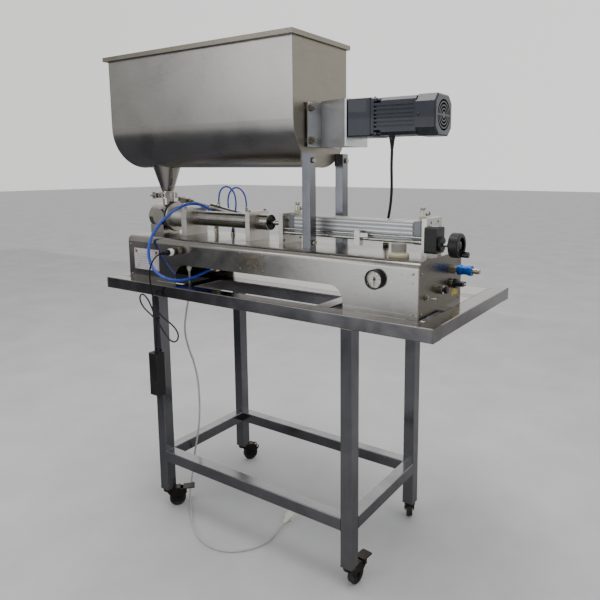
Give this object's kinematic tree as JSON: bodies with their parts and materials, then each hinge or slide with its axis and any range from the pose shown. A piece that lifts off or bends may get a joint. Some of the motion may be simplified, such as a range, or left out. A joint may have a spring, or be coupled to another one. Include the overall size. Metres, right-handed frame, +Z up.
{
  "type": "piston filling machine",
  "caption": "Horizontal pneumatic piston filler for thick liquids: agitated trough hopper, three-way valve, filling cylinder and stroke adjuster on a wheeled stainless table",
  "frame": {"origin": "On the floor under the middle of the table.", "axes": "+X from the filling valve to the adjuster handwheel, +Y to the back, +Z up."},
  "size_m": [1.32, 0.6742, 1.581],
  "materials": {
    "steel": "brushed stainless sheet and tube",
    "polished": "polished stainless",
    "bright": "bright turned steel and nickel",
    "zinc": "zinc plated pressing",
    "aluminium": "satin anodised",
    "brass": "turned brass",
    "motor_paint": "dark blue grey paint",
    "blue_metal": "blue anodised",
    "black_plastic": "moulded black plastic",
    "white_plastic": "white moulded plastic",
    "blue_hose": "blue polyurethane tube",
    "rubber": "black rubber"
  },
  "bodies": {
    "frame": {"table_rails": "steel", "shelf_sheet": "steel", "leg_frame": "steel", "housing_cover": "steel", "housing_ends": "steel", "housing_screws": "bright", "gauge_case": "black_plastic", "panel_fittings": "bright", "valve_body": "polished", "valve_gasket": "rubber", "pipe_clamp": "polished", "cylinder_blocks": "aluminium", "material_tube": "polished", "cylinder_plates": "aluminium", "air_cylinder": "aluminium", "guide_rod": "bright", "position_counter": "black_plastic", "actuator_barrel": "bright", "hopper_shell": "steel", "hopper_ends": "steel", "hopper_cone": "polished", "hopper_posts": "steel", "motor_bracket": "steel", "gearbox": "motor_paint", "motor": "motor_paint", "fan_cover": "motor_paint", "frame_bolts": "bright", "motor_cable": "rubber", "control_lead": "rubber", "control_lead_ends": "black_plastic", "mains_lead": "white_plastic", "mains_connector": "white_plastic", "air_hose": "blue_hose", "loop_tube_a": "blue_hose", "loop_tube_b": "blue_hose"},
    "caster_fork_front_left": {"caster_fork_front_left": "zinc"},
    "caster_wheel_front_left": {"caster_wheel_front_left": "rubber"},
    "caster_brake_front_left": {"caster_brake_front_left": "zinc"},
    "caster_fork_front_right": {"caster_fork_front_right": "zinc"},
    "caster_wheel_front_right": {"caster_wheel_front_right": "rubber"},
    "caster_brake_front_right": {"caster_brake_front_right": "zinc"},
    "caster_fork_back_left": {"caster_fork_back_left": "zinc"},
    "caster_wheel_back_left": {"caster_wheel_back_left": "rubber"},
    "caster_fork_back_right": {"caster_fork_back_right": "zinc"},
    "caster_wheel_back_right": {"caster_wheel_back_right": "rubber"},
    "gauge_pointer": {"gauge_pointer": "black_plastic"},
    "air_coupler_sleeve": {"air_coupler_sleeve": "blue_metal"},
    "selector_knob": {"selector_knob": "black_plastic"},
    "push_button": {"push_button": "black_plastic"},
    "toggle_lever": {"toggle_lever": "brass"},
    "valve_rotor": {"valve_rotor": "polished"},
    "actuator_rod": {"actuator_rod": "bright"},
    "clamp_wing_nut": {"clamp_wing_nut": "bright"},
    "piston_rod": {"piston_rod": "bright"},
    "handwheel": {"handwheel": "black_plastic", "lead_screw": "bright"},
    "sensor_carriage": {"sensor_carriage": "aluminium"},
    "handwheel_grip": {"handwheel_grip": "black_plastic"},
    "agitator": {"agitator": "steel"},
    "fan": {"fan": "black_plastic"}
  },
  "joints": [
    {"name": "caster_swivel_front_left", "type": "hinge", "parent": "frame", "child": "caster_fork_front_left", "pos_m": [-0.379, -0.2805, 0.0675], "axis": [0, 0, 1], "continuous": true},
    {"name": "caster_roll_front_left", "type": "hinge", "parent": "caster_fork_front_left", "child": "caster_wheel_front_left", "pos_m": [-0.35854, -0.25856, 0.028], "axis": [-0.7314, 0.682, 0], "continuous": true},
    {"name": "caster_brake_press_front_left", "type": "hinge", "parent": "caster_fork_front_left", "child": "caster_brake_front_left", "pos_m": [-0.34081, -0.23954, 0.054], "axis": [-0.7314, 0.682, 0], "range_deg": [0, 15]},
    {"name": "caster_swivel_front_right", "type": "hinge", "parent": "frame", "child": "caster_fork_front_right", "pos_m": [0.385, -0.2805, 0.0675], "axis": [0, 0, 1], "continuous": true},
    {"name": "caster_roll_front_right", "type": "hinge", "parent": "caster_fork_front_right", "child": "caster_wheel_front_right", "pos_m": [0.38814, -0.25066, 0.028], "axis": [-0.9945, 0.1045, 0], "continuous": true},
    {"name": "caster_brake_press_front_right", "type": "hinge", "parent": "caster_fork_front_right", "child": "caster_brake_front_right", "pos_m": [0.39085, -0.22481, 0.054], "axis": [-0.9945, 0.1045, 0], "range_deg": [0, 15]},
    {"name": "caster_swivel_back_left", "type": "hinge", "parent": "frame", "child": "caster_fork_back_left", "pos_m": [-0.379, 0.109, 0.0675], "axis": [0, 0, 1], "continuous": true},
    {"name": "caster_roll_back_left", "type": "hinge", "parent": "caster_fork_back_left", "child": "caster_wheel_back_left", "pos_m": [-0.364, 0.13498, 0.028], "axis": [-0.866, 0.5, 0], "continuous": true},
    {"name": "caster_swivel_back_right", "type": "hinge", "parent": "frame", "child": "caster_fork_back_right", "pos_m": [0.385, 0.109, 0.0675], "axis": [0, 0, 1], "continuous": true},
    {"name": "caster_roll_back_right", "type": "hinge", "parent": "caster_fork_back_right", "child": "caster_wheel_back_right", "pos_m": [0.37092, 0.13549, 0.028], "axis": [-0.8829, -0.4695, 0], "continuous": true},
    {"name": "gauge_needle", "type": "hinge", "parent": "frame", "child": "gauge_pointer", "pos_m": [0.447, -0.26, 0.909], "axis": [0, 1, 0], "range_deg": [0, 270]},
    {"name": "coupler_sleeve_slide", "type": "slide", "parent": "frame", "child": "air_coupler_sleeve", "axis": [1, 0, 0], "range_m": [-0.004, 0], "stiffness_N_per_m": 600},
    {"name": "selector_turn", "type": "hinge", "parent": "frame", "child": "selector_knob", "pos_m": [0.577, -0.026, 0.874], "axis": [1, 0, 0], "range_deg": [0, 90]},
    {"name": "button_push", "type": "slide", "parent": "frame", "child": "push_button", "axis": [1, 0, 0], "range_m": [-0.003, 0], "stiffness_N_per_m": 500},
    {"name": "toggle_flip", "type": "hinge", "parent": "frame", "child": "toggle_lever", "pos_m": [0.578, -0.21, 0.866], "axis": [0, 1, 0], "range_deg": [-12, 12]},
    {"name": "valve_turn", "type": "hinge", "parent": "frame", "child": "valve_rotor", "pos_m": [-0.53, -0.097, 1.023], "axis": [0, 1, 0], "range_deg": [-45, 45]},
    {"name": "actuator_stroke", "type": "slide", "parent": "frame", "child": "actuator_rod", "axis": [0.9871, 0, -0.1601], "range_m": [-0.042, 0.042]},
    {"name": "wing_nut_turn", "type": "hinge", "parent": "frame", "child": "clamp_wing_nut", "pos_m": [-0.549, -0.14, 1.1], "axis": [1, 0, 0], "continuous": true},
    {"name": "piston_stroke", "type": "slide", "parent": "frame", "child": "piston_rod", "axis": [1, 0, 0], "range_m": [-0.25, 0]},
    {"name": "handwheel_turn", "type": "hinge", "parent": "frame", "child": "handwheel", "pos_m": [0.6, -0.138, 0.999], "axis": [1, 0, 0], "range_deg": [-8100, 8100]},
    {"name": "carriage_slide", "type": "slide", "parent": "frame", "child": "sensor_carriage", "axis": [1, 0, 0], "range_m": [-0.0901, 0.0901]},
    {"name": "grip_spin", "type": "hinge", "parent": "handwheel", "child": "handwheel_grip", "pos_m": [0.65, -0.138, 0.976], "axis": [1, 0, 0], "continuous": true},
    {"name": "agitator_turn", "type": "hinge", "parent": "frame", "child": "agitator", "pos_m": [0, -0.097, 1.339], "axis": [1, 0, 0], "continuous": true},
    {"name": "fan_spin", "type": "hinge", "parent": "frame", "child": "fan", "pos_m": [0.52, -0.097, 1.339], "axis": [1, 0, 0], "continuous": true}
  ],
  "couplings": [
    {"joint": "actuator_stroke", "follows": "valve_turn", "m_per_rad": 0.0531},
    {"joint": "carriage_slide", "follows": "handwheel_turn", "m_per_rad": 0.00063662},
    {"joint": "fan_spin", "follows": "agitator_turn", "ratio": 15}
  ]
}
